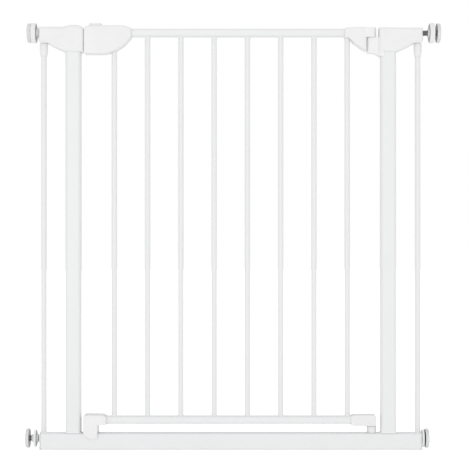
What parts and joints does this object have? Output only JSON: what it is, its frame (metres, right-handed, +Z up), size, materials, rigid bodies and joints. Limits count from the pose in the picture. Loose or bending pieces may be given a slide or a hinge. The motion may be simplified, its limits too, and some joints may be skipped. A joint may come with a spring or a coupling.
{
  "type": "safety baby gate",
  "caption": "White pressure-fit safety gate: a U-shaped tube frame with four hand-screwed wall pads and a barred door that is unlatched, lifted and swung both ways.",
  "frame": {"origin": "centre of the base rail's underside, on the floor, in the middle of the frame's depth", "axes": "+Z up, +X towards the hinge side, -Y towards the front; the gate's plane is XZ"},
  "size_m": [0.7511, 0.0364, 0.7732],
  "materials": {
    "painted_steel": "satin white powder coat",
    "white_plastic": "fine moulded white plastic",
    "grey_rubber": "soft light grey rubber",
    "spindle_steel": "dark zinc-plated screw thread",
    "bright_steel": "plain zinc-plated steel"
  },
  "bodies": {
    "frame": {"base_rail": "painted_steel", "post_left": "painted_steel", "post_right": "painted_steel", "side_bar_left": "painted_steel", "side_bar_right": "painted_steel", "arm_tube_left": "painted_steel", "arm_tube_right": "painted_steel", "ferrule_left": "white_plastic", "ferrule_right": "white_plastic", "base_plug_left": "white_plastic", "base_plug_right": "white_plastic", "housing_left_front": "white_plastic", "housing_left_rear": "white_plastic", "housing_right_front": "white_plastic", "housing_right_rear": "white_plastic", "housing_screw_left": "bright_steel", "housing_screw_right": "bright_steel", "latch_keeper": "bright_steel", "upper_hinge_bush": "white_plastic", "lower_hinge_pin": "spindle_steel", "lower_hinge_collar": "white_plastic"},
    "hinge_washers": {"upper_hinge_washer": "bright_steel", "lower_hinge_washer": "bright_steel"},
    "door": {"door_top_rail": "painted_steel", "door_bottom_rail": "painted_steel", "door_bar_1": "painted_steel", "door_bar_2": "painted_steel", "door_bar_3": "painted_steel", "door_bar_4": "painted_steel", "door_bar_5": "painted_steel", "door_bar_6": "painted_steel", "door_bar_7": "painted_steel", "door_bar_8": "painted_steel", "handle_front": "white_plastic", "handle_rear": "white_plastic", "handle_screw_1": "bright_steel", "handle_screw_2": "bright_steel", "hinge_cover_front": "white_plastic", "hinge_cover_rear": "white_plastic", "hinge_cover_screw": "bright_steel", "bottom_lock": "white_plastic", "bottom_hinge_cap": "white_plastic", "upper_hinge_pin": "spindle_steel", "lower_hinge_bush": "white_plastic", "latch_spring": "bright_steel"},
    "latch": {"thumb_slider": "white_plastic", "latch_bolt": "bright_steel"},
    "wheel_upper_left": {"hand_wheel_upper_left": "white_plastic"},
    "foot_upper_left": {"spindle_upper_left": "spindle_steel", "wall_pad_upper_left": "grey_rubber"},
    "wheel_upper_right": {"hand_wheel_upper_right": "white_plastic"},
    "foot_upper_right": {"spindle_upper_right": "spindle_steel", "wall_pad_upper_right": "grey_rubber"},
    "wheel_lower_left": {"hand_wheel_lower_left": "white_plastic"},
    "foot_lower_left": {"spindle_lower_left": "spindle_steel", "wall_pad_lower_left": "grey_rubber"},
    "wheel_lower_right": {"hand_wheel_lower_right": "white_plastic"},
    "foot_lower_right": {"spindle_lower_right": "spindle_steel", "wall_pad_lower_right": "grey_rubber"}
  },
  "joints": [
    {"name": "door_swing", "type": "hinge", "parent": "frame", "child": "hinge_washers", "pos_m": [0.2552, 0, 0.4], "axis": [0, 0, 1], "range_deg": [-90, 90]},
    {"name": "door_lift", "type": "slide", "parent": "hinge_washers", "child": "door", "axis": [0, 0, 1], "range_m": [0, 0.012]},
    {"name": "latch_slide", "type": "slide", "parent": "door", "child": "latch", "axis": [1, 0, 0], "range_m": [0, 0.012], "stiffness_N_per_m": 150, "springref_m": -0.008, "deforming": ["latch_spring"]},
    {"name": "extend_upper_left", "type": "slide", "parent": "frame", "child": "foot_upper_left", "axis": [-1, 0, 0], "range_m": [0, 0.02]},
    {"name": "turn_upper_left", "type": "hinge", "parent": "frame", "child": "wheel_upper_left", "pos_m": [-0.35, 0, 0.755], "axis": [-1, 0, 0], "range_deg": [-2881, 1]},
    {"name": "extend_upper_right", "type": "slide", "parent": "frame", "child": "foot_upper_right", "axis": [1, 0, 0], "range_m": [-0.004, 0.016]},
    {"name": "turn_upper_right", "type": "hinge", "parent": "frame", "child": "wheel_upper_right", "pos_m": [0.35, 0, 0.755], "axis": [1, 0, 0], "range_deg": [-2305, 577]},
    {"name": "extend_lower_left", "type": "slide", "parent": "frame", "child": "foot_lower_left", "axis": [-1, 0, 0], "range_m": [-0.003, 0.017]},
    {"name": "turn_lower_left", "type": "hinge", "parent": "frame", "child": "wheel_lower_left", "pos_m": [-0.35, 0, 0.02], "axis": [-1, 0, 0], "range_deg": [-2449, 433]},
    {"name": "extend_lower_right", "type": "slide", "parent": "frame", "child": "foot_lower_right", "axis": [1, 0, 0], "range_m": [-0.002, 0.018]},
    {"name": "turn_lower_right", "type": "hinge", "parent": "frame", "child": "wheel_lower_right", "pos_m": [0.35, 0, 0.02], "axis": [1, 0, 0], "range_deg": [-2593, 289]}
  ],
  "couplings": [
    {"joint": "turn_upper_left", "follows": "extend_upper_left", "rad_per_m": -2513.3},
    {"joint": "turn_upper_right", "follows": "extend_upper_right", "rad_per_m": -2513.3},
    {"joint": "turn_lower_left", "follows": "extend_lower_left", "rad_per_m": -2513.3},
    {"joint": "turn_lower_right", "follows": "extend_lower_right", "rad_per_m": -2513.3}
  ]
}
